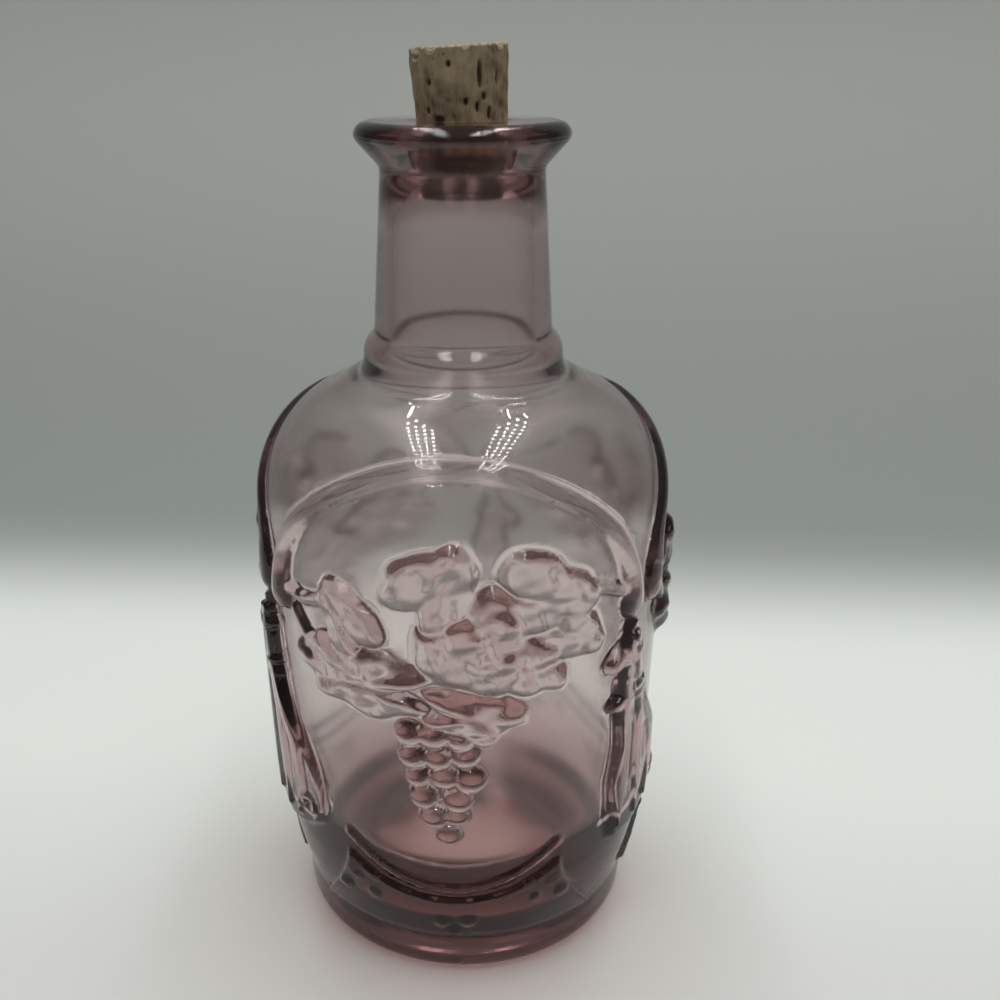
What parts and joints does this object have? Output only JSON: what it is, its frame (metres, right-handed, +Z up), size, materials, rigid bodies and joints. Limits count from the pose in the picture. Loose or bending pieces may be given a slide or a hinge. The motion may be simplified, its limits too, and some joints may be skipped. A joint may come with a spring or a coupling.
{
  "type": "decanter",
  "caption": "Empty pressed glass decanter with embossed arches, vine leaves and grapes, a flared lip and a tapered cork in its neck.",
  "frame": {"origin": "middle of the base, on the surface that the bottle stands on", "axes": "+Z up the axis of the glass; -Y through the middle of one embossed panel, which is the front; +X to the right of that panel"},
  "size_m": [0.111, 0.1108, 0.2318],
  "materials": {
    "glass": "clear glass with a light mauve tint, darker where it is thick",
    "cork": "dry, pitted cork with a chipped rim"
  },
  "bodies": {
    "root": {"bottle": "glass", "cork": "cork"}
  },
  "joints": []
}
